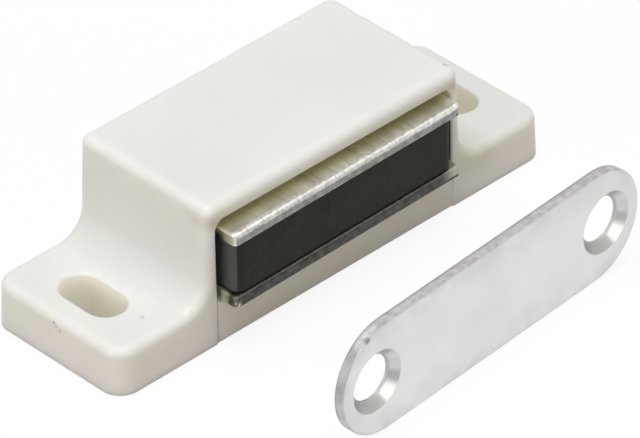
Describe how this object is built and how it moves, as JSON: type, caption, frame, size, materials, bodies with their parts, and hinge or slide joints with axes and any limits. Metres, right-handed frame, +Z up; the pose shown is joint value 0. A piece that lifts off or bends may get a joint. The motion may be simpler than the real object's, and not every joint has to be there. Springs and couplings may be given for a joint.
{
  "type": "magnetic catch",
  "caption": "Surface-mounted magnetic cupboard catch: a moulded housing with slotted screw ears, a loose magnet and pole-plate pack, and its countersunk strike plate.",
  "frame": {"origin": "centre of the housing's base, the face that is screwed down on the cabinet", "axes": "+X along the catch from ear to ear, -Y out of the open magnet face towards the door, +Z up from the base through the block"},
  "size_m": [0.058, 0.0397, 0.0162],
  "materials": {
    "white_abs": "smooth moulded ABS, semi-gloss, warm white",
    "zinc_plated_steel": "bright zinc plating with fine drawn streaks",
    "ferrite": "dark grey sintered ferrite, matte",
    "plated_strike_steel": "dull silver plating, faintly mottled"
  },
  "bodies": {
    "catch": {"housing": "white_abs", "base_plug": "white_abs"},
    "magnet_pack": {"lower_pole_plate": "zinc_plated_steel", "magnet_block": "ferrite", "upper_pole_plate": "zinc_plated_steel"},
    "strike": {"strike_plate": "plated_strike_steel"}
  },
  "joints": [
    {"name": "magnet_pack_yaw", "type": "hinge", "parent": "catch", "child": "magnet_pack", "pos_m": [0, -0.00252, 0.0049], "axis": [0, 0, 1], "range_deg": [-2.3, 0.7]},
    {"name": "strike_plate_travel", "type": "slide", "parent": "catch", "child": "strike", "axis": [0, 1, 0], "range_m": [0, 0.015]}
  ]
}
